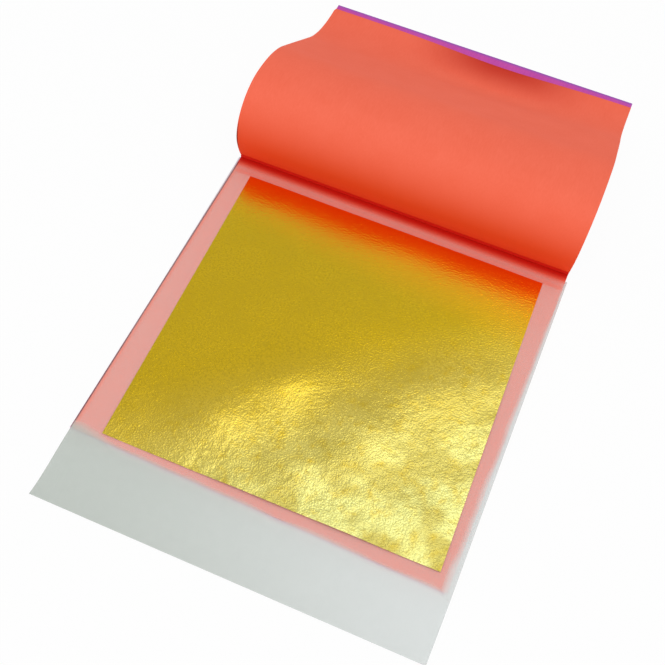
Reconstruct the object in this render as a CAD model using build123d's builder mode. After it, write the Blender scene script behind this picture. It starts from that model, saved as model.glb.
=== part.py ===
# An open booklet of gold leaf, lying on a table with its front pages rolled back.
# X runs across the pages, +Y runs back to the bound edge, +Z is up, and the origin
# is the middle of the closed pages' outline, on the table.
import math
import os
from build123d import *

os.makedirs("parts", exist_ok=True)

# Sheets, in millimetres. A page is a leaf of gold with its borders and the bound margin.
leaf_size = 80.0
leaf_thickness = 0.02
side_border = 4.6
end_border = 3.25
page_thickness = 0.08
rear_page_count = 10
turned_page_count = 5
back_cover_thickness = 0.5
front_cover_thickness = 0.3
front_cover_overhang = 1.5
back_cover_peek = 0.4

# The fold where the front pages turn back, measured from the bound edge at mid width
binding_margin = 5.5
fold_skew = 1.62
fold_gap = 0.1
fold_lift = 0.12

# The roll of the turned pages, along the upper face of the uppermost page. A longer
# sheet rolls wider, so the radii are shares of the length that is turned back.
rise_heading = 113.7
rise_turn = 13.0
rise_radius_share = 0.381
crown_radius_share = 0.1375
fall_turn = 34.5
fall_radius_share = 0.3176
foot_radius_share = 0.3397
sheet_air = 0.04
facing_page_air = 0.2

# The loose transfer tissue and the leaf that lies on it
tissue_width = 90.0
tissue_thickness = 0.04
tissue_showing = 16.2
tissue_fold_gap = 1.3
tissue_middle_x = 0.45
tissue_turn = 0.4
tissue_floor_air = 0.02
tissue_bend_gap = 0.9
leaf_middle_x = 1.05
leaf_slip = 1.36
leaf_turn = 1.5

# Binding: a paper strip over the spine and two wire staples through the margin
strip_thickness = 0.12
strip_reach = 3.0
wire_diameter = 0.35
wire_bend_radius = 0.2
wire_air = 0.05
staple_width = 10.0
staple_spacing = 46.0
staple_inset = 1.5
staple_return = 3.0
pocket_depth = 0.4

# Outline of a page, and the heights of the stack from the table up
page_width = leaf_size + 2 * side_border
page_length = leaf_size + 2 * end_border + binding_margin
leaf_step = page_thickness + leaf_thickness
open_page_z = back_cover_thickness + (rear_page_count - 1) * leaf_step
open_page_top = open_page_z + page_thickness
margin_top = open_page_top + (turned_page_count + 1) * page_thickness + front_cover_thickness
spine_y = page_length / 2
page_middle_y = -binding_margin / 2
fold_z = margin_top + fold_lift

# Depths of the turned sheets, from the uppermost face down
page_step = page_thickness + sheet_air
first_turned_depth = page_thickness + facing_page_air
front_cover_depth = first_turned_depth + turned_page_count * page_step
turned_thickness = front_cover_depth + front_cover_thickness


def fold_y(x):
    """Give the place of the fold, which runs a little askew across the pages."""
    return spine_y - binding_margin + x * math.tan(math.radians(fold_skew))


def save(sheet, name):
    """Label a finished piece and write it to its own file."""
    sheet.part.label = name
    export_step(sheet.part, f"parts/{name}.step")


# The staples' legs pass through every sheet of the margin at these places
staple_y = spine_y - staple_inset
staple_middles = [(-staple_spacing / 2, staple_y), (staple_spacing / 2, staple_y)]
leg_places = [(x + side * staple_width / 2, y) for x, y in staple_middles for side in (-1, 1)]
leg_hole_radius = wire_diameter / 2 + wire_air


# Back cover: a plain card under the pages, pocketed for the staples' bent ends
with BuildPart() as back_cover:
    with BuildSketch():
        with Locations((-back_cover_peek, 0)):
            Rectangle(page_width, page_length)
    extrude(amount=back_cover_thickness)
    with BuildSketch():
        with Locations(leg_places):
            Circle(leg_hole_radius)
    extrude(amount=back_cover_thickness, mode=Mode.SUBTRACT)
    with BuildSketch():
        with Locations(staple_middles):
            Rectangle(staple_width + wire_diameter + 2 * wire_air, wire_diameter + 2 * wire_air)
        with Locations(staple_middles):
            Rectangle(
                staple_width - 2 * staple_return - 2 * wire_air,
                wire_diameter + 4 * wire_air,
                mode=Mode.SUBTRACT,
            )
    extrude(amount=pocket_depth, mode=Mode.SUBTRACT)
save(back_cover, "back_cover")


# Rear pages: whole sheets under the open page, each with a leaf of gold on it
for number in range(1, rear_page_count):
    page_z = back_cover_thickness + (rear_page_count - 1 - number) * leaf_step
    with BuildPart() as rear_page:
        with BuildSketch(Plane.XY.offset(page_z)):
            Rectangle(page_width, page_length)
            with Locations(leg_places):
                Circle(leg_hole_radius, mode=Mode.SUBTRACT)
        extrude(amount=page_thickness)
    save(rear_page, f"rear_page_{number}")

    with BuildPart() as rear_leaf:
        with BuildSketch(Plane.XY.offset(page_z + page_thickness)):
            with Locations((0, page_middle_y)):
                Rectangle(leaf_size, leaf_size)
        extrude(amount=leaf_thickness)
    save(rear_leaf, f"rear_leaf_{number}")


# Open page: the panel in front of the fold, which lifts about the fold
with BuildPart() as open_page:
    with BuildSketch(Plane.XY.offset(open_page_z)):
        with BuildLine():
            Polyline(
                (-page_width / 2, -spine_y),
                (page_width / 2, -spine_y),
                (page_width / 2, fold_y(page_width / 2) - fold_gap),
                (-page_width / 2, fold_y(-page_width / 2) - fold_gap),
                close=True,
            )
        make_face()
    extrude(amount=page_thickness)
save(open_page, "open_page")


def margin(bottom_z, thickness):
    """Make the bound margin of a folded sheet, between the fold and the spine."""
    with BuildPart() as strip:
        with BuildSketch(Plane.XY.offset(bottom_z)):
            with BuildLine():
                Polyline(
                    (-page_width / 2, fold_y(-page_width / 2)),
                    (page_width / 2, fold_y(page_width / 2)),
                    (page_width / 2, spine_y),
                    (-page_width / 2, spine_y),
                    close=True,
                )
            make_face()
            with Locations(leg_places):
                Circle(leg_hole_radius, mode=Mode.SUBTRACT)
        extrude(amount=thickness)
    return strip


# Margins of the folded sheets, stacked on the rear pages in the order they are bound
margin_names = ["open_page_margin", "facing_page_margin"]
margin_names += [f"turned_page_{number}_margin" for number in range(1, turned_page_count + 1)]
for level, name in enumerate(margin_names):
    save(margin(open_page_z + level * page_thickness, page_thickness), name)
save(margin(margin_top - front_cover_thickness, front_cover_thickness), "front_cover_margin")


# Headings and lengths of the roll, which runs up from the fold, over and down
turned_length = page_length - binding_margin
rise_radius = turned_length * rise_radius_share
crown_radius = turned_length * crown_radius_share
fall_radius = turned_length * fall_radius_share
foot_radius = turned_length * foot_radius_share
crown_heading = rise_heading - rise_turn
crest_height = rise_radius * (
    math.cos(math.radians(crown_heading)) - math.cos(math.radians(rise_heading))
) + crown_radius * (1 - math.cos(math.radians(crown_heading)))
curved_fall = (fall_radius + foot_radius) * (1 - math.cos(math.radians(fall_turn)))
straight_fall = fold_z + crest_height - turned_thickness - curved_fall
slope_length = straight_fall / math.sin(math.radians(fall_turn))
fold_normal = rise_heading - 90
skewed_width = page_width / math.cos(math.radians(fold_skew))


def rolled_length(depth):
    """Give the length of the roll at a depth, without its flat tail."""
    return (
        math.radians(rise_turn) * (rise_radius - depth)
        + math.radians(crown_heading) * (crown_radius - depth)
        + math.radians(fall_turn) * (fall_radius + foot_radius)
        + slope_length
    )


def rolled_face(depth, tail_length):
    """Draw one face of a turned sheet, from the fold to the free edge."""
    start = (
        fold_y(-page_width / 2) + depth * math.cos(math.radians(fold_normal)),
        fold_z + depth * math.sin(math.radians(fold_normal)),
    )
    heading = (math.cos(math.radians(rise_heading)), math.sin(math.radians(rise_heading)))
    rise = JernArc(start, heading, rise_radius - depth, -rise_turn)
    crown = JernArc(rise @ 1, rise % 1, crown_radius - depth, -crown_heading)
    fall = JernArc(crown @ 1, crown % 1, fall_radius - depth, -fall_turn)
    slope = Line(fall @ 1, fall @ 1 + fall % 1 * slope_length)
    foot = JernArc(slope @ 1, slope % 1, foot_radius + depth, fall_turn)
    tail = Line(foot @ 1, foot @ 1 + foot % 1 * tail_length)
    return rise @ 0, tail @ 1


def rolled_sheet(depth, thickness, length):
    """Make a turned sheet whose upper face lies at a depth under the uppermost one."""
    tail_length = length - rolled_length(depth + thickness / 2)
    with BuildPart() as sheet:
        with BuildSketch(Plane.YZ.offset(-page_width / 2)):
            with BuildLine():
                upper_start, upper_end = rolled_face(depth, tail_length)
                lower_start, lower_end = rolled_face(depth + thickness, tail_length)
                Line(upper_start, lower_start)
                Line(upper_end, lower_end)
            make_face()
        extrude(amount=skewed_width, dir=(1, math.tan(math.radians(fold_skew)), 0))
    return sheet


# Turned sheets: the facing page on top, the other pages under it, the cover undermost
save(rolled_sheet(0, page_thickness, turned_length), "facing_page")
for number in range(1, turned_page_count + 1):
    depth = first_turned_depth + (number - 1) * page_step
    save(rolled_sheet(depth, page_thickness, turned_length), f"turned_page_{number}")
front_cover_length = turned_length + front_cover_overhang
save(
    rolled_sheet(front_cover_depth, front_cover_thickness, front_cover_length),
    "front_cover",
)


# Transfer tissue: lies on the open page, and its pulled-out end droops to the table
tissue_far_y = fold_y(0) - tissue_fold_gap
tissue_near_y = -spine_y - tissue_showing
tissue_length = tissue_far_y - tissue_near_y
tissue_middle_y = (tissue_far_y + tissue_near_y) / 2
tissue_bend = -spine_y - tissue_bend_gap - tissue_middle_y
tissue_run = tissue_length / 2 + tissue_bend
tissue_drop = open_page_top - tissue_floor_air
droop_turn = 2 * math.degrees(math.atan(tissue_drop / tissue_run))
droop_radius = tissue_run / (2 * math.sin(math.radians(droop_turn)))
across_tissue = Vector(1, 0, 0).rotate(Axis.Z, tissue_turn)
along_tissue = Vector(0, 1, 0).rotate(Axis.Z, tissue_turn)
tissue_side = Plane(
    origin=Vector(tissue_middle_x, tissue_middle_y, 0) - across_tissue * (tissue_width / 2),
    x_dir=along_tissue,
    z_dir=across_tissue,
)


def tissue_face(height, growth):
    """Draw one face of the tissue, from its far edge to its drooping end."""
    flat = Line((tissue_length / 2, height), (tissue_bend, height))
    over = JernArc(flat @ 1, flat % 1, droop_radius + growth, droop_turn)
    under = JernArc(over @ 1, over % 1, droop_radius - growth, -droop_turn)
    return flat @ 0, under @ 1


with BuildPart() as transfer_tissue:
    with BuildSketch(tissue_side):
        with BuildLine():
            top_start, top_end = tissue_face(open_page_top + tissue_thickness, tissue_thickness)
            bottom_start, bottom_end = tissue_face(open_page_top, 0)
            Line(top_start, bottom_start)
            Line(top_end, bottom_end)
        make_face()
    extrude(amount=tissue_width)
save(transfer_tissue, "transfer_tissue")


# Gold leaf: the beaten square on the tissue
with BuildPart() as gold_leaf:
    with BuildSketch(Plane.XY.offset(open_page_top + tissue_thickness)):
        with Locations(Location((leaf_middle_x, page_middle_y - leaf_slip), leaf_turn)):
            Rectangle(leaf_size, leaf_size)
    extrude(amount=leaf_thickness)
save(gold_leaf, "gold_leaf")


# Spine strip: pasted paper down the bound edge and over the front cover's margin
with BuildPart() as spine_strip:
    with BuildSketch(Plane.YZ.offset(-page_width / 2)):
        with BuildLine():
            Polyline(
                (spine_y, 0),
                (spine_y + strip_thickness, 0),
                (spine_y + strip_thickness, margin_top + strip_thickness),
                (spine_y - strip_reach, margin_top + strip_thickness),
                (spine_y - strip_reach, margin_top),
                (spine_y, margin_top),
                close=True,
            )
        make_face()
    extrude(amount=page_width)
    with BuildSketch(Plane.XY.offset(margin_top)):
        with Locations(leg_places):
            Circle(leg_hole_radius)
    extrude(amount=strip_thickness, mode=Mode.SUBTRACT)
save(spine_strip, "spine_strip")


# Staples: round wire, its crown on the strip and its ends bent into the cover's pockets
crown_z = margin_top + strip_thickness + wire_diameter / 2
clinch_z = pocket_depth - wire_bend_radius
leg_x = staple_width / 2
for side, name in ((-1, "staple_left"), (1, "staple_right")):
    with BuildPart() as staple:
        with BuildLine(Plane.XZ.offset(-staple_y)) as wire:
            FilletPolyline(
                (side * staple_spacing / 2 - leg_x + staple_return, clinch_z),
                (side * staple_spacing / 2 - leg_x, clinch_z),
                (side * staple_spacing / 2 - leg_x, crown_z),
                (side * staple_spacing / 2 + leg_x, crown_z),
                (side * staple_spacing / 2 + leg_x, clinch_z),
                (side * staple_spacing / 2 + leg_x - staple_return, clinch_z),
                radius=wire_bend_radius,
            )
        with BuildSketch(Plane(origin=wire.line @ 0, z_dir=wire.line % 0)):
            Circle(wire_diameter / 2)
        sweep()
    save(staple, name)

print("fold at", round(fold_y(0), 2), "height", round(fold_z, 2))
print("crest height", round(fold_z + crest_height, 2), "slope", round(slope_length, 2))
print("tail of the facing page", round(turned_length - rolled_length(0), 2))
print("tissue droop", round(droop_turn, 2), "degrees, radius", round(droop_radius, 2))
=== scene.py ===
# An open booklet of gold leaf, lying on a table with its front pages rolled back.
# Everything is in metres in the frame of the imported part: X across the pages, +Y back to
# the bound edge, +Z up, and the origin in the middle of the pages' outline on the table.
import math

import bpy
import numpy as np
from mathutils import Matrix, Vector


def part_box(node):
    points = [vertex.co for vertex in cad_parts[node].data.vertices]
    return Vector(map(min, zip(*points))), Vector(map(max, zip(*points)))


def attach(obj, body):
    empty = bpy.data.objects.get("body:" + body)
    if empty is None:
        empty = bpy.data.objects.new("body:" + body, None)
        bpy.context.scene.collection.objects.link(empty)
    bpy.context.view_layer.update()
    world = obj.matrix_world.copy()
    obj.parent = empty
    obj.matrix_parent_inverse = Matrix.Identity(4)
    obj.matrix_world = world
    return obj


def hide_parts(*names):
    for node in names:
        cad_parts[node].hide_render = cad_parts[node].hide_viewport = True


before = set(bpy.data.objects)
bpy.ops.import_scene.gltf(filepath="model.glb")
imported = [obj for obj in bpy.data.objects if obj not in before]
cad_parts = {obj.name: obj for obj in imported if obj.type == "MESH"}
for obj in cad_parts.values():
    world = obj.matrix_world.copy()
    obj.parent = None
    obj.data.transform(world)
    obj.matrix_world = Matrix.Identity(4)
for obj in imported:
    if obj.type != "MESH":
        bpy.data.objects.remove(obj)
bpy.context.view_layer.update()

mm = 0.001


# Camera: it stands over the near edge, a little to the right, and looks down at the
# leaf. Its place and aim were fitted to the corners of the leaf and the ends of the roll.
camera_place = Vector((32.95, -115.58, 209.49)) * mm
camera_aim = Vector((-0.1447, 0.4837, -0.8632))
camera_up = Vector((-0.3760, 0.7801, 0.5001))
picture_pixels = 665
focal_pixels = 1017.2
sensor_millimetres = 36.0
nearest_seen = 10 * mm

camera = bpy.data.objects.new("camera", bpy.data.cameras.new("camera"))
camera.data.sensor_width = sensor_millimetres
camera.data.lens = sensor_millimetres * focal_pixels / picture_pixels
camera.data.clip_start = nearest_seen
camera_right = camera_aim.cross(camera_up)
camera.matrix_world = Matrix.LocRotScale(
    camera_place, Matrix((camera_right, camera_up, -camera_aim)).transposed(), None
)
bpy.context.scene.collection.objects.link(camera)
bpy.context.scene.camera = camera
bpy.context.scene.view_settings.view_transform = "Standard"


# Room: even light, a little stronger from behind, a soft lamp over the booklet, and a broad
# one low in front that metal doesn't mirror. The white table and the backdrop look white to
# the eye and in metal, but the table takes a shadow, and through tissue it shows as it is lit.
room_light = 0.56
room_light_behind = 0.82
backdrop_white = 1.0
zenith_grey = 0.60
pure_white = (1.0, 1.0, 1.0, 1.0)
table_colour = (0.80, 0.80, 0.80, 1.0)
table_whitening = 0.95
table_size = 4.0
# Each lamp's name, place, size, power, and whether metal mirrors it.
soft_lamps = (
    ("high_lamp", Vector((0.22, 0.12, 0.93)), 0.66, 2.0, True),
    ("front_lamp", Vector((0.05, -0.74, 0.56)), 1.00, 3.8, False),
)


class Wire:
    """One output in a shader tree, on which plain arithmetic adds Math nodes."""

    def __init__(self, tree, output=None):
        self.tree = tree
        self.output = output

    def node(self, kind, settings=None, sockets=None, out=0):
        """Add a node of this type, with its settings made first and its sockets fed."""
        made = self.tree.nodes.new(kind)
        for name, value in (settings or {}).items():
            setattr(made, name, value)
        for name, value in (sockets or {}).items():
            if isinstance(value, Wire):
                self.tree.links.new(value.output, made.inputs[name])
            else:
                made.inputs[name].default_value = value
        return Wire(self.tree, made.outputs[out] if made.outputs else None)

    def maths(self, operation, *values):
        """Add a Math node on these values, where a plain operator has no sign for it."""
        return self.node("ShaderNodeMath", {"operation": operation}, dict(enumerate(values)))

    def __add__(self, other):
        return self.maths("ADD", self, other)

    def __sub__(self, other):
        return self.maths("SUBTRACT", self, other)

    def __rsub__(self, other):
        return self.maths("SUBTRACT", other, self)

    def __mul__(self, other):
        return self.maths("MULTIPLY", self, other)

    __radd__ = __add__
    __rmul__ = __mul__


def empty_tree(owner):
    """Clear the shader tree of a material or a world, and give a wire to build on."""
    owner.use_nodes = True
    owner.node_tree.nodes.clear()
    return Wire(owner.node_tree)


def seen_ray(tree):
    """Give 1 for rays from the eye, and for those that metal and glass send on."""
    eye, metal, glass = (
        tree.node("ShaderNodeLightPath", out=kind)
        for kind in ("Is Camera Ray", "Is Glossy Ray", "Is Transmission Ray")
    )
    return tree.maths("MAXIMUM", tree.maths("MAXIMUM", eye, metal), glass)


def axes_of(tree, place):
    """Give the X, Y and Z of a place as three wires."""
    return [
        tree.node("ShaderNodeSeparateXYZ", sockets={"Vector": place}, out=axis)
        for axis in "XYZ"
    ]


def between(share, low, high):
    """Go evenly from the low value to the high one as a share goes from 0 to 1."""
    return share * (high - low) + low


room = bpy.data.worlds.new("room")
bpy.context.scene.world = room
air = empty_tree(room)
direction = air.node("ShaderNodeTexCoord", out="Generated")
behind, height = (air.maths("MAXIMUM", along, 0.0) for along in axes_of(air, direction)[1:])
backdrop = between(height, backdrop_white, zenith_grey)
even_light = between(behind, room_light, room_light_behind)
seen = seen_ray(air)
glow = seen * backdrop + (1 - seen) * even_light
sky = air.node("ShaderNodeBackground", sockets={"Color": pure_white, "Strength": glow})
air.node("ShaderNodeOutputWorld", sockets={"Surface": sky})

table_finish = bpy.data.materials.new("white_table")
table_tree = empty_tree(table_finish)
sheets_passed = table_tree.node("ShaderNodeLightPath", out="Transparent Depth")
plain_view = seen_ray(table_tree) * table_tree.maths("LESS_THAN", sheets_passed, 1.0)
table_lit = table_tree.node("ShaderNodeBsdfDiffuse", sockets={"Color": table_colour})
table_white = table_tree.node("ShaderNodeEmission", sockets={"Color": pure_white})
table_mix = table_tree.node(
    "ShaderNodeMixShader",
    sockets={0: plain_view * table_whitening, 1: table_lit, 2: table_white},
)
table_tree.node("ShaderNodeOutputMaterial", sockets={"Surface": table_mix})

half_table = table_size / 2
table_mesh = bpy.data.meshes.new("table")
table_mesh.from_pydata(
    [(-half_table, -half_table, 0.0), (half_table, -half_table, 0.0),
     (half_table, half_table, 0.0), (-half_table, half_table, 0.0)],
    [],
    [(0, 1, 2, 3)],
)
table_mesh.materials.append(table_finish)
table = bpy.data.objects.new("table", table_mesh)
bpy.context.scene.collection.objects.link(table)

for name, place, size, power, mirrored in soft_lamps:
    lamp = bpy.data.objects.new(name, bpy.data.lights.new(name, "AREA"))
    lamp.data.size = size
    lamp.data.energy = power
    lamp.location = place
    lamp.visible_glossy = mirrored
    lamp.rotation_mode = "QUATERNION"
    lamp.rotation_quaternion = (-place).to_track_quat("-Z", "Y")
    bpy.context.scene.collection.objects.link(lamp)


# Back cover, spine strip and the front cover's bound margin: thin violet card and paper,
# matte, with pale fibres and a slight cloudiness. The back cover lies under all the pages,
# and the strip is pasted over the bound edge.
violet = (0.62, 0.09, 0.42, 1.0)
deep_violet = (0.40, 0.05, 0.36, 1.0)
# Painted shade: a darker, bluer violet along the front cover's free edge.
shaded_rim_violet = (0.33, 0.09, 0.44, 1.0)
rim_shade_start = (-1.5 * mm, -0.4 * mm)
fold_skew = math.radians(1.62)
free_edge_y = 105.75 * mm
noise_middle = 0.5
cloud_pitch = 7 * mm
cloud_share = 0.5
fibre_pitch = 0.35 * mm
fibre_detail = 3.0
fibre_turns = (0.5, 2.2)
fibre_stretch = 7.0
fibre_share = 0.9
fibre_height = 0.02 * mm
paper_bump = 0.5
paper_roughness = 0.72
paper_gloss = 0.10


def mixed(tree, share, first, second):
    """Mix two colours by a share of the second, on the Mix node's sockets for colours."""
    return tree.node(
        "ShaderNodeMix", {"data_type": "RGBA"}, {0: share, 6: first, 7: second}, out=2
    )


def ramp_up(tree, value, span):
    """Ease from 0 at the start of a span to 1 at its end."""
    start, end = span
    return tree.node(
        "ShaderNodeMapRange",
        {"interpolation_type": "SMOOTHSTEP"},
        {"Value": value, "From Min": start, "From Max": end},
    )


def ramp_down(tree, value, span):
    """Ease from 1 at the start of a span to 0 at its end."""
    return 1 - ramp_up(tree, value, span)


def noise_at(tree, place, pitch, detail=2.0):
    """Give noise whose features are about one pitch apart."""
    return tree.node(
        "ShaderNodeTexNoise",
        sockets={"Vector": place, "Scale": 1 / pitch, "Detail": detail},
        out="Fac",
    )


def fibres_at(tree, place):
    """Give short crossing fibres: two noises, each drawn out along its own way."""
    strands = []
    for turn in fibre_turns:
        lying = tree.node(
            "ShaderNodeMapping",
            sockets={"Vector": place, "Rotation": (0.0, 0.0, turn),
                     "Scale": (1.0, 1 / fibre_stretch, 1.0)},
        )
        strands.append(noise_at(tree, lying, fibre_pitch, fibre_detail))
    return tree.maths("MAXIMUM", *strands)


def new_finish(name):
    """Start a material, and give it with its empty tree and the place on the piece."""
    finish = bpy.data.materials.new(name)
    tree = empty_tree(finish)
    return finish, tree, tree.node("ShaderNodeTexCoord", out="Object")


def matte_paper(name, colour, deep_colour, painted_light):
    """Make thin matte paper, clouded with a deeper shade and covered in fibres, then add
    painted light and shade.
    """
    finish, tree, place = new_finish(name)
    clouds = noise_at(tree, place, cloud_pitch)
    fibres = fibres_at(tree, place)
    depth = clouds * cloud_share + (fibres - noise_middle) * fibre_share
    shade = painted_light(tree, place, mixed(tree, depth, colour, deep_colour))
    bump = tree.node(
        "ShaderNodeBump",
        sockets={"Strength": paper_bump, "Distance": fibre_height, "Height": fibres},
    )
    surface = tree.node(
        "ShaderNodeBsdfPrincipled",
        sockets={"Base Color": shade, "Roughness": paper_roughness, "Normal": bump,
                 "Specular IOR Level": paper_gloss},
    )
    tree.node("ShaderNodeOutputMaterial", sockets={"Surface": surface})
    return finish


def past_line(along_x, along_y, turn, middle):
    """Give how far a place lies past a line that crosses the pages at a slight turn."""
    return along_y - along_x * math.tan(turn) - middle


def violet_rim_shade(tree, place, shade):
    """Paint shade along the front cover's free edge: a darker, bluer violet."""
    along_x, along_y = axes_of(tree, place)[:2]
    past_edge = past_line(along_x, along_y, fold_skew, free_edge_y)
    return mixed(tree, ramp_up(tree, past_edge, rim_shade_start), shade, shaded_rim_violet)


def refinish(node, finish):
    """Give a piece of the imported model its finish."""
    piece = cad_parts[node]
    piece.data.materials.clear()
    piece.data.materials.append(finish)


violet_card = matte_paper("violet_card", violet, deep_violet, violet_rim_shade)
for node in ("back_cover", "front_cover_margin", "spine_strip"):
    refinish(node, violet_card)


# Rear pages and the leaves between them: thin coral tissue paper, rouged on both faces,
# each page with a beaten square of gold on it. A redder coral on the roll's front, where it
# leans over the leaf, is painted light bounced from the leaf and pages; the darker reds in
# its dent, in the crease and at the pages' left edge are painted shade.
coral = (0.920, 0.168, 0.098, 1.0)
deep_coral = (0.850, 0.125, 0.062, 1.0)
# Painted reflected light: a redder coral on the roll's front, bounced there from the leaf and
# pages.
bounce_lit_coral = (0.850, 0.072, 0.017, 1.0)
# Painted shade in the roll's dent.
dent_shade_coral = (0.560, 0.030, 0.014, 1.0)
# Painted shade in the crease.
crease_shade_red = (0.64, 0.013, 0.006, 1.0)
# Painted shade along the pages' left edge.
shaded_edge_red = (0.17, 0.012, 0.014, 1.0)
plain_gold = (0.80, 0.58, 0.08, 1.0)
leaf_edge_roughness = (0.20, 0.50)
fold_middle = Vector((0.0, 40.5, 2.38)) * mm
page_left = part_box("open_page")[0].x
dent_middle = 7 * mm
dent_shade_share = 0.9
# Where each painted light or shade starts or ends, in height, across, or along from the fold.
front_end = (1 * mm, 6 * mm)
bounce_lit_start = (2 * mm, 3 * mm)
bounce_lit_end = (8 * mm, 24 * mm)
dent_shade_start = (50 * mm, 61 * mm)
dent_shade_sides = (2 * mm, 30 * mm)
crease_shade_start = (-3.0 * mm, -0.5 * mm)
crease_shade_end = (2.4 * mm, 3.6 * mm)
left_edge_shade = (page_left + 0.20 * mm, page_left + 0.45 * mm)
left_edge_shade_end = (-3 * mm, -1 * mm)


def coral_painted_light(tree, place, shade):
    """Paint bounced light on the roll's front, and shade in its dent, the crease and at the
    left edge.
    """
    along_x, along_y, height = axes_of(tree, place)
    past_fold = past_line(along_x, along_y, fold_skew, fold_middle.y)
    in_front = ramp_down(tree, past_fold, front_end)
    # Painted bounced light on the roll's front, where it leans over the leaf.
    bounce_lit = in_front * ramp_up(tree, height, bounce_lit_start)
    bounce_lit = bounce_lit * ramp_down(tree, height, bounce_lit_end)
    shade = mixed(tree, bounce_lit, shade, bounce_lit_coral)
    # Painted shade in the dent by the roll's free edge.
    off_dent = tree.maths("ABSOLUTE", along_x - dent_middle)
    dent_shade = ramp_up(tree, past_fold, dent_shade_start) * ramp_down(tree, off_dent, dent_shade_sides)
    shade = mixed(tree, dent_shade * dent_shade_share, shade, dent_shade_coral)
    # Painted shade in the crease at the foot of the roll.
    crease = in_front * ramp_up(tree, past_fold, crease_shade_start)
    crease = crease * ramp_down(tree, height, crease_shade_end)
    shade = mixed(tree, crease, shade, crease_shade_red)
    # Painted shade along the page block's left edge.
    rim = ramp_down(tree, along_x, left_edge_shade) * ramp_down(tree, past_fold, left_edge_shade_end)
    return mixed(tree, rim, shade, shaded_edge_red)


def grained_metal(name, colour, grain_pitch, roughness):
    """Make bare metal whose roughness varies with a fine grain."""
    finish, tree, place = new_finish(name)
    grain = noise_at(tree, place, grain_pitch)
    surface = tree.node(
        "ShaderNodeBsdfPrincipled",
        sockets={"Base Color": colour, "Metallic": 1.0,
                 "Roughness": between(grain, *roughness)},
    )
    tree.node("ShaderNodeOutputMaterial", sockets={"Surface": surface})
    return finish


coral_paper = matte_paper("coral_paper", coral, deep_coral, coral_painted_light)
leaf_edge = grained_metal("leaf_edge", plain_gold, fibre_pitch, leaf_edge_roughness)
for node in sorted(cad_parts):
    turned_margin = node.startswith("turned_page") and node.endswith("margin")
    if node.startswith(("open_page", "rear_page")) or turned_margin:
        refinish(node, coral_paper)
    elif node.startswith("rear_leaf"):
        refinish(node, leaf_edge)


# Staples: two plain steel wires through the bound margin, drawn bright, with fine
# marks across the wire from the rollers.
steel = (0.62, 0.62, 0.63, 1.0)
wire_mark_pitch = 0.12 * mm
wire_roughness = (0.15, 0.40)

bright_wire = grained_metal("bright_wire", steel, wire_mark_pitch, wire_roughness)
for node in ("staple_left", "staple_right"):
    refinish(node, bright_wire)


# Turned pages: coral pages folded back over the binding in one soft roll, which leans over
# the leaf and runs down to the table. Each lies a little deeper than the one above. The
# roll sways slightly, with a dent by its free edge and shallow swells at its right end.
page_width = 89.2 * mm
page_thickness = 0.08 * mm
turned_length = 86.5 * mm
turned_page_count = 5
first_turned_depth = 0.28 * mm
page_step = 0.12 * mm
turned_thickness = 1.18 * mm
# The roll seen from its side: three bends, a straight slope and a last bend at its foot.
rise_heading, rise_turn, fall_turn = (math.radians(angle) for angle in (113.7, 13.0, 34.5))
rise_radius, crown_radius, fall_radius, foot_radius = (
    turned_length * share for share in (0.381, 0.1375, 0.3176, 0.3397)
)
slope_length = 21.95 * mm
crown_turn = rise_heading - rise_turn
bend_lengths = (rise_turn * rise_radius, crown_turn * crown_radius, fall_turn * fall_radius,
                slope_length, fall_turn * foot_radius)
bend_ends = np.concatenate(([0.0], np.cumsum(bend_lengths)))
bend_headings = np.array((rise_heading, crown_turn, 0.0, -fall_turn, -fall_turn, 0.0))
path_length = 100 * mm
path_steps = 4000
dent_place = (76.5 * mm, dent_middle)
dent_reach = (7 * mm, 20 * mm)
dent_depth = 1.3 * mm
# Each swell's middle along the roll, its reach and its height.
right_swells = ((64 * mm, 14 * mm, 1.1 * mm), (31 * mm, 11 * mm, -1.1 * mm))
right_reach = 26 * mm
sway_pitch = 26 * mm
sway_height = 0.30 * mm
steady_border = 14 * mm
border_sway = 0.2
edge_draw = 0.1 * mm
middle_draw = 1.3 * mm
page_rows, page_columns = 150, 72
inner_rows, inner_columns = 110, 24
sharp_rim = math.radians(50)
knot_count = 64


def eased(share):
    """Ease a share that goes from 0 to 1."""
    return share * share * (3 - 2 * share)


def mound(offset, reach):
    """Give a smooth hill that is 1 in its middle and dies away past its reach."""
    return np.exp(-((offset / reach) ** 2))


def ripples(x, y, pitch, seed):
    """Give smooth noise from -1 to 1 whose hills lie about one pitch apart."""
    knots = np.random.default_rng(seed).uniform(-1, 1, (knot_count, knot_count))
    column, row = np.floor(x / pitch), np.floor(y / pitch)
    right, up = eased(x / pitch - column), eased(y / pitch - row)
    left_knot, right_knot = ((column + step).astype(int) % knot_count for step in (0, 1))
    near_knot, far_knot = ((row + step).astype(int) % knot_count for step in (0, 1))
    near, far = (
        knots[line, left_knot] * (1 - right) + knots[line, right_knot] * right
        for line in (near_knot, far_knot)
    )
    return near * (1 - up) + far * up


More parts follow.
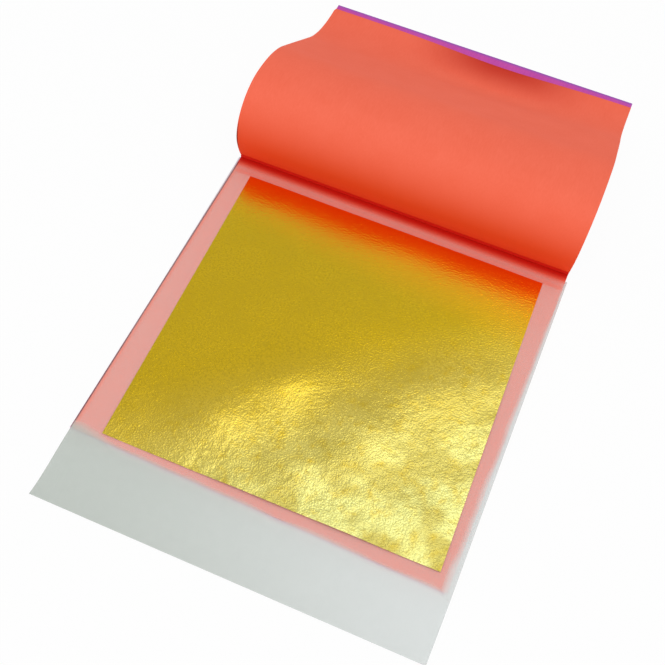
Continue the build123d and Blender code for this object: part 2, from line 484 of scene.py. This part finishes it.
def sheet_solid(name, upper, thickness):
    """Close a grid of points on a sheet's upper face into a thin solid of its own."""
    rows, columns = upper.shape[:2]
    normals = np.cross(np.gradient(upper, axis=1), np.gradient(upper, axis=0))
    normals /= np.linalg.norm(normals, axis=2, keepdims=True)
    points = np.concatenate((upper, upper - normals * thickness)).reshape(-1, 3)
    number = np.arange(rows * columns).reshape(rows, columns)
    quads = np.stack(
        (number[:-1, :-1], number[:-1, 1:], number[1:, 1:], number[1:, :-1]), axis=2
    ).reshape(-1, 4)
    rim = np.concatenate(
        (number[0, :-1], number[:-1, -1], number[-1, :0:-1], number[:0:-1, 0])
    )
    after = np.roll(rim, -1)
    below = rows * columns
    sides = np.stack((rim, rim + below, after + below, after), axis=1)
    faces = np.concatenate((quads, quads[:, ::-1] + below, sides))
    mesh = bpy.data.meshes.new(name)
    mesh.from_pydata(points.tolist(), [], faces.tolist())
    mesh.polygons.foreach_set("use_smooth", np.ones(len(faces), bool))
    mesh.set_sharp_from_angle(angle=sharp_rim)
    piece = bpy.data.objects.new(name, mesh)
    bpy.context.scene.collection.objects.link(piece)
    return piece


path_marks = np.linspace(0.0, path_length, path_steps + 1)
path_turns = np.interp((path_marks[1:] + path_marks[:-1]) / 2, bend_ends, bend_headings)
path_step = path_length / path_steps
path_y = fold_middle.y + np.concatenate(([0.0], np.cumsum(np.cos(path_turns) * path_step)))
path_z = fold_middle.z + np.concatenate(([0.0], np.cumsum(np.sin(path_turns) * path_step)))


def bulge(along, across):
    """Give how far the rolled paper stands out of its even roll at a place."""
    dent = mound(along - dent_place[0], dent_reach[0])
    dent = dent * mound(across - dent_place[1], dent_reach[1])
    free = np.clip(along / sway_pitch, 0, 1)
    free = free * np.clip((bend_ends[-1] - along) / sway_pitch, 0, 1)
    free = free * np.clip((page_width / 2 - np.abs(across)) / steady_border, border_sway, 1)
    sway = ripples(across, along, sway_pitch, seed=4) * sway_height * free
    swell = sum(
        height * mound(along - middle, reach) for middle, reach, height in right_swells
    )
    at_right = mound(across - page_width / 2, right_reach)
    return sway + swell * at_right - dent * dent_depth


def rolled_grid(depth, length, rows, columns, draw=0.0, dip=0.0):
    """Give points on a turned sheet's upper face, from the fold to its free edge."""
    across = np.linspace(-page_width / 2, page_width / 2, columns + 1)[None, :]
    drawn = draw + dip * mound(across - dent_place[1], dent_reach[1])
    ends = length + depth * rise_heading - drawn
    along = np.linspace(0.0, 1.0, rows + 1)[:, None] * ends
    across = np.broadcast_to(across, along.shape)
    heading = np.interp(along, bend_ends, bend_headings)
    inward = depth - bulge(along, across)
    y = np.interp(along, path_marks, path_y) + inward * np.sin(heading)
    z = np.interp(along, path_marks, path_z) - inward * np.cos(heading)
    z = np.maximum(z, turned_thickness - depth)
    return np.stack((across, y + across * math.tan(fold_skew), z), axis=2)


def place_piece(piece, finish, body, node):
    """Give a piece its finish, and put it on its body in place of its node."""
    piece.data.materials.append(finish)
    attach(piece, body)
    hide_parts(node)


for number in range(1, turned_page_count + 1):
    depth = first_turned_depth + (number - 1) * page_step
    page = sheet_solid(
        f"coral_page_{number}",
        rolled_grid(depth, turned_length, inner_rows, inner_columns, edge_draw, middle_draw),
        page_thickness,
    )
    place_piece(page, coral_paper, "turned_pages", f"turned_page_{number}")


# Facing page: the coral page that lay on the leaf, now the outer sheet of the roll. It
# takes the eye most: soft, matte, clouded, with long shallow waves and one dent.
facing_page = sheet_solid(
    "facing_coral_page",
    rolled_grid(0.0, turned_length, page_rows, page_columns, edge_draw, middle_draw),
    page_thickness,
)
place_piece(facing_page, coral_paper, "facing_page", "facing_page")


# Fold of the facing page: its bound margin, which lies on the open page's margin, and the
# crease where the paper turns up round the other folds. It bulges a little to the front.
facing_margin_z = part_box("facing_page_margin")[0].z
spine_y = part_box("facing_page_margin")[1].y
crease_bulge = 0.12 * mm
crease_rise = (fold_middle.z - facing_margin_z) / 2
crease_steps, crease_columns = 16, 40

turns = np.radians(np.linspace(-90, 90, crease_steps + 1))
crease_y = fold_middle.y - crease_bulge * np.cos(turns)
crease_z = facing_margin_z + crease_rise * (1 + np.sin(turns))
fold_y = np.concatenate(([spine_y], crease_y))[:, None]
fold_z = np.concatenate(([facing_margin_z], crease_z))[:, None]
fold_x = np.linspace(-page_width / 2, page_width / 2, crease_columns + 1)[None, :]
askew = np.where(fold_y < spine_y, fold_x * math.tan(fold_skew), 0.0)
facing_fold = sheet_solid(
    "facing_page_fold",
    np.stack(np.broadcast_arrays(fold_x, fold_y + askew, fold_z), axis=2),
    page_thickness,
)
place_piece(facing_fold, coral_paper, "bound_block", "facing_page_margin")


# Front cover: thin violet card under the turned pages. Only a narrow band of it shows
# past their free edge, pinker by the coral paper, and at its rim darker and bluer with painted
# shade.
cover_thickness = 0.3 * mm
cover_overhang = 1.5 * mm
cover_length = turned_length + cover_overhang
cover_depth = first_turned_depth + turned_page_count * page_step

front_cover = sheet_solid(
    "violet_front_cover",
    rolled_grid(cover_depth, cover_length, inner_rows, inner_columns),
    cover_thickness,
)
place_piece(front_cover, violet_card, "turned_pages", "front_cover")


# Transfer tissue: a loose sheet of thin white tissue under the leaf, pulled out over the
# pages' near edge, where it droops to the table. The coral page shows through it as pink,
# and where it stands off the page it looks whiter and hides the page's edge.
tissue_size = (90.0 * mm, 101.4 * mm)
tissue_thickness = 0.04 * mm
tissue_middle = Vector((0.45, -11.5, 0.0)) * mm
tissue_turn = math.radians(0.4)
tissue_rows, tissue_columns = 140, 110
near_skew = 0.5 * mm
corner_flare = 0.8 * mm
corner_reach = 9 * mm
droop_start = 0.9 * mm
droop_length = 16 * mm
floor_air = 0.02 * mm
cockle_ways = ((1.0, 0.4), (-0.3, 1.0))
cockle_pitch = 19 * mm
cockle_height = 0.20 * mm
page_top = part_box("open_page")[1].z
page_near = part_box("open_page")[0].y
page_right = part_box("open_page")[1].x
leaf_size = 80 * mm
leaf_middle = Vector((1.05, -4.11, 0.0)) * mm
leaf_turn = math.radians(1.5)
leaf_far = leaf_middle.y + leaf_size / 2


def slanted(x, y, ways):
    """Measure places along two slanting ways, each given by its share of X and of Y."""
    return [x * share_x + y * share_y for share_x, share_y in ways]


def cockles(x, y):
    """Give the height of the tissue's shallow waves over the page under it."""
    waves = ripples(*slanted(x, y, cockle_ways), cockle_pitch, seed=9)
    return (waves + 1) / 2 * cockle_height


def tissue_height(x, y):
    """Give the height of the tissue's upper face over the table."""
    droop = eased(np.clip((page_near - droop_start - y) / droop_length, 0, 1))
    lying = page_top + tissue_thickness + cockles(x, y)
    return lying * (1 - droop) + (tissue_thickness + floor_air) * droop


def turned_place(middle, turn, x, y):
    """Turn and move places on a sheet from its own frame into the booklet's."""
    return (
        middle.x + x * math.cos(turn) - y * math.sin(turn),
        middle.y + x * math.sin(turn) + y * math.cos(turn),
    )


half_width, half_length = tissue_size[0] / 2, tissue_size[1] / 2
own_x, own_y = np.meshgrid(
    np.linspace(-half_width, half_width, tissue_columns + 1),
    np.linspace(-half_length, half_length, tissue_rows + 1),
)
nearness = np.clip(-own_y / half_length, 0, 1)
flared = np.exp(-((own_x + half_width) + (own_y + half_length)) / corner_reach)
tissue_x, tissue_y = turned_place(
    tissue_middle,
    tissue_turn,
    own_x - corner_flare * flared,
    own_y + nearness * near_skew * own_x / half_width,
)
tissue = sheet_solid(
    "white_transfer_tissue",
    np.stack((tissue_x, tissue_y, tissue_height(tissue_x, tissue_y)), axis=2),
    tissue_thickness,
)

tissue_pale = (0.70, 0.735, 0.725, 1.0)
# Painted shade: the loose tissue turns greyer towards its near left.
tissue_shaded_grey = (0.50, 0.545, 0.50, 1.0)
tissue_rouged = (0.68, 0.62, 0.59, 1.0)
grey_shade_slant = 0.4
grey_shade_span = (-70 * mm, 40 * mm)
fibre_greyness = 0.3
lying_cover = 0.27
lifted_cover = 0.60
pressed_cover = 0.14
fibre_cover = 0.08
cloud_cover = 0.06
light_let_through = 0.85
tissue_bump = 0.4
tissue_roughness = 0.55
tissue_gloss = 0.15
wobble_pitch = 12 * mm
wobble_width = 1.6 * mm
far_press_wobble = 0.3
near_corner_shift = 1.3 * mm
side_slant = 0.014
# Where the tissue starts or stops touching: by the page's edges, the leaf or the fold.
near_corner = (-43 * mm, -32 * mm)
near_fade = (page_near - 1.6 * mm, page_near + 0.9 * mm)
side_fade = (page_right - 1.3 * mm, page_right + 0.7 * mm)
far_press_start = (-1 * mm, 0.0)
far_press_end = (0.2 * mm, 1.5 * mm)
left_press_end = (page_left + 0.3 * mm, page_left + 1.5 * mm)
tuck_start = (-4.2 * mm, -1.6 * mm)


def tissue_contact(tree, place):
    """Give where the tissue is lifted off the pages, pressed on, and tucked in the crease."""
    along_x, along_y = axes_of(tree, place)[:2]
    wobble = (noise_at(tree, place, wobble_pitch) - noise_middle) * wobble_width
    near_edge = along_y + wobble - ramp_down(tree, along_x, near_corner) * near_corner_shift
    side_edge = along_x + wobble - along_y * side_slant
    lifted = tree.maths(
        "MAXIMUM", ramp_down(tree, near_edge, near_fade), ramp_up(tree, side_edge, side_fade)
    )
    past_leaf = past_line(along_x, along_y, leaf_turn, leaf_far)
    far_press = ramp_up(tree, past_leaf, far_press_start)
    far_line = past_leaf + wobble * far_press_wobble
    far_press = far_press * ramp_down(tree, far_line, far_press_end)
    left_press = ramp_down(tree, along_x, left_press_end)
    pressed = tree.maths("MAXIMUM", far_press, left_press) * (1 - lifted)
    past_fold = past_line(along_x, along_y, fold_skew, fold_middle.y)
    return lifted, pressed, ramp_up(tree, past_fold, tuck_start)


def sheer_tissue(name):
    """Make white tissue that covers more where it is lifted, and less where it is pressed."""
    finish, tree, place = new_finish(name)
    lifted, pressed, tucked = tissue_contact(tree, place)
    fibres = fibres_at(tree, place)
    clouds = noise_at(tree, place, cloud_pitch)
    cover = between(lifted, lying_cover, lifted_cover)
    cover = cover - pressed * (lying_cover - pressed_cover)
    cover = cover + (fibres - noise_middle) * fibre_cover
    cover = cover + (clouds - noise_middle) * cloud_cover
    shadow_ray, bounced_ray = (
        tree.node("ShaderNodeLightPath", out=kind)
        for kind in ("Is Shadow Ray", "Is Diffuse Ray")
    )
    let_through = tree.maths("MAXIMUM", shadow_ray, bounced_ray) * light_let_through
    along_x, along_y = axes_of(tree, place)[:2]
    # Painted shade, greyer towards the near left.
    grey_shade = ramp_down(tree, along_x + along_y * grey_shade_slant, grey_shade_span)
    grey_shade = grey_shade + (fibres - noise_middle) * fibre_greyness
    shade = mixed(tree, lifted, tissue_rouged, mixed(tree, grey_shade, tissue_pale, tissue_shaded_grey))
    bump = tree.node(
        "ShaderNodeBump",
        sockets={"Strength": tissue_bump, "Distance": fibre_height, "Height": fibres},
    )
    surface = tree.node(
        "ShaderNodeBsdfPrincipled",
        sockets={"Base Color": shade, "Roughness": tissue_roughness, "Normal": bump,
                 "Alpha": cover * (1 - tucked) * (1 - let_through),
                 "Specular IOR Level": tissue_gloss},
    )
    tree.node("ShaderNodeOutputMaterial", sockets={"Surface": surface})
    return finish


white_tissue = sheer_tissue("white_tissue")
place_piece(tissue, white_tissue, "transfer_sheet", "transfer_tissue")


# Gold leaf: one beaten square on the tissue. It follows the tissue's waves, and where it
# was breathed on and smoothed less, at its near end, it is crinkled into fine creases
# that draw it in a little. Its colour carries painted light: paler highlights and darker
# patches of shade at the near end, and a redder reflection of the coral roll at the far end.
leaf_thickness = 0.02 * mm
leaf_draw = 0.99
leaf_steps = 220
near_end_start = 2 * mm
near_end_slant = 0.50
near_end_length = 38 * mm
# Each layer of patches: its pitch and its seed.
patch_layers = ((13 * mm, 31), (6 * mm, 32))
crinkle_share = 0.75
patch_share = 0.8
# Each field of creases: its heading in degrees, its pitch in millimetres and its seed.
leaf_creases = ((62, 0.9, 21), (30, 1.1, 22), (85, 0.8, 23), (45, 1.8, 24))
crease_stretch = 3.2
wander_stretch = 5
wander_share = 0.8
wander_seed = 50
leaf_crease_height = 0.030 * mm
drape_ways = ((0.6, 0.4), (-0.6, 1.0))
drape_pitch = 9 * mm
drape_height = 0.24 * mm
far_drape = 0.10
grain_pitch = 0.75 * mm
grain_height = 0.006 * mm
crinkled_grain_height = 0.030 * mm
# Each swell of the leaf in millimetres: its place, its reach and its height.
leaf_swells = ((15, -21, 9, 0.85), (33, -33, 6, 0.40), (24, -50, 8, 0.50), (-17, -29, 7, 0.65),
               (-6, -15, 7, 0.60), (28, -4, 9, 0.60))

own_x, own_y = np.meshgrid(*[np.linspace(-leaf_size / 2, leaf_size / 2, leaf_steps + 1)] * 2)
leaf_x, leaf_y = turned_place(leaf_middle, leaf_turn, own_x * leaf_draw, own_y * leaf_draw)


def crease_field(heading, pitch, seed):
    """Give ridges from 0 to 1 that run along a heading, each about a pitch wide."""
    along = leaf_x * math.cos(heading) + leaf_y * math.sin(heading)
    across = leaf_y * math.cos(heading) - leaf_x * math.sin(heading)
    wander = ripples(leaf_x, leaf_y, wander_stretch * pitch, seed + wander_seed)
    bent = across + wander * pitch * wander_share
    return (1 - np.abs(ripples(along / crease_stretch, bent, pitch, seed))) ** 2


near_end = near_end_start - own_y + near_end_slant * own_x
near_end = np.clip(near_end / near_end_length, 0.0, 1.0)
patches = sum(ripples(leaf_x, leaf_y, pitch, seed) for pitch, seed in patch_layers) / 2
crinkled = np.clip(near_end * (crinkle_share + patch_share * patches), 0.0, 1.0)
creases = sum(
    crease_field(math.radians(degrees), pitch * mm, seed)
    for degrees, pitch, seed in leaf_creases
)
drape = ripples(*slanted(leaf_x, leaf_y, drape_ways), drape_pitch, seed=33) + 1
grain = ripples(leaf_x, leaf_y, grain_pitch, seed=25) + 1
relief = creases * leaf_crease_height * crinkled
relief += drape * drape_height * (far_drape + near_end)
relief += grain * (grain_height + crinkled_grain_height * crinkled)
for swell_x, swell_y, reach, height in np.array(leaf_swells) * mm:
    relief += height * mound(leaf_x - swell_x, reach) * mound(leaf_y - swell_y, reach)
leaf_z = tissue_height(leaf_x, leaf_y) + leaf_thickness + relief
leaf = sheet_solid(
    "beaten_gold_leaf", np.stack((leaf_x, leaf_y, leaf_z), axis=2), leaf_thickness
)

smooth_gold = (0.76, 0.510, 0.004, 1.0)
# Painted highlight: a paler gold.
highlight_pale_gold = (0.82, 0.820, 0.280, 1.0)
# Painted reflection of the coral roll in the gold.
roll_reflection_gold = (1.0, 0.50, 0.006, 1.0)
# Painted shade in broad patches, and a fine grain, both as a darker gold.
grain_and_shade_gold = (0.43, 0.310, 0.006, 1.0)
broad_pitch = 11 * mm
mottle_pitch = 2.5 * mm
mottle_detail = 4.0
speck_pitch = 0.42 * mm
speck_detail = 3.0
near_slant = 0.80
near_span = (-62 * mm, 2 * mm)
roll_reflection_slant = 0.10
roll_reflection_span = (-20 * mm, -3 * mm)
highlight_span = (0.05, 0.55)
shade_patch_span = (0.42, 0.62)
speck_span = (0.40, 0.70)
speck_share = 0.38
speck_height = 0.20 * mm
leaf_bump = 0.8
leaf_coat = 0.4
leaf_coat_roughness = 0.2
# How much there is of each at the far end, and at the near one.
shade_patch_share = (0.12, 0.67)
speck_relief = (0.35, 1.0)
leaf_roughness = (0.18, 0.28)


def crinkled_gold(name):
    """Make beaten gold: the roll's painted reflection at its far end, and at its near one
    rougher, with painted highlights and shade.
    """
    finish, tree, place = new_finish(name)
    along_x, along_y = axes_of(tree, place)[:2]
    broad = noise_at(tree, place, broad_pitch)
    mottle = noise_at(tree, place, mottle_pitch, mottle_detail)
    specks = noise_at(tree, place, speck_pitch, speck_detail)
    to_near = ramp_down(tree, along_y - along_x * near_slant, near_span)
    # Painted highlights: a paler gold in mottled patches at the near end.
    shade = mixed(tree, to_near * ramp_up(tree, mottle, highlight_span), smooth_gold, highlight_pale_gold)
    # Painted shade: darker gold in broad patches, most at the near end, with a fine grain of
    # darker gold all over.
    grain_and_shade = ramp_up(tree, broad, shade_patch_span) * between(to_near, *shade_patch_share)
    grain_and_shade = tree.maths("MAXIMUM", grain_and_shade, ramp_up(tree, specks, speck_span) * speck_share)
    shade = mixed(tree, grain_and_shade, shade, grain_and_shade_gold)
    # Painted reflection of the coral roll: a redder gold along the far end.
    past_leaf = past_line(along_x, along_y, leaf_turn, leaf_far)
    roll_reflection = ramp_up(tree, past_leaf + along_x * roll_reflection_slant, roll_reflection_span)
    shade = mixed(tree, roll_reflection, shade, roll_reflection_gold)
    bump = tree.node(
        "ShaderNodeBump",
        sockets={"Strength": leaf_bump, "Distance": speck_height,
                 "Height": specks * between(to_near, *speck_relief)},
    )
    surface = tree.node(
        "ShaderNodeBsdfPrincipled",
        sockets={"Base Color": shade, "Metallic": 1.0, "Normal": bump,
                 "Roughness": between(to_near, *leaf_roughness),
                 "Coat Weight": leaf_coat, "Coat Roughness": leaf_coat_roughness},
    )
    tree.node("ShaderNodeOutputMaterial", sockets={"Surface": surface})
    return finish


beaten_gold = crinkled_gold("beaten_gold")
place_piece(leaf, beaten_gold, "transfer_sheet", "gold_leaf")
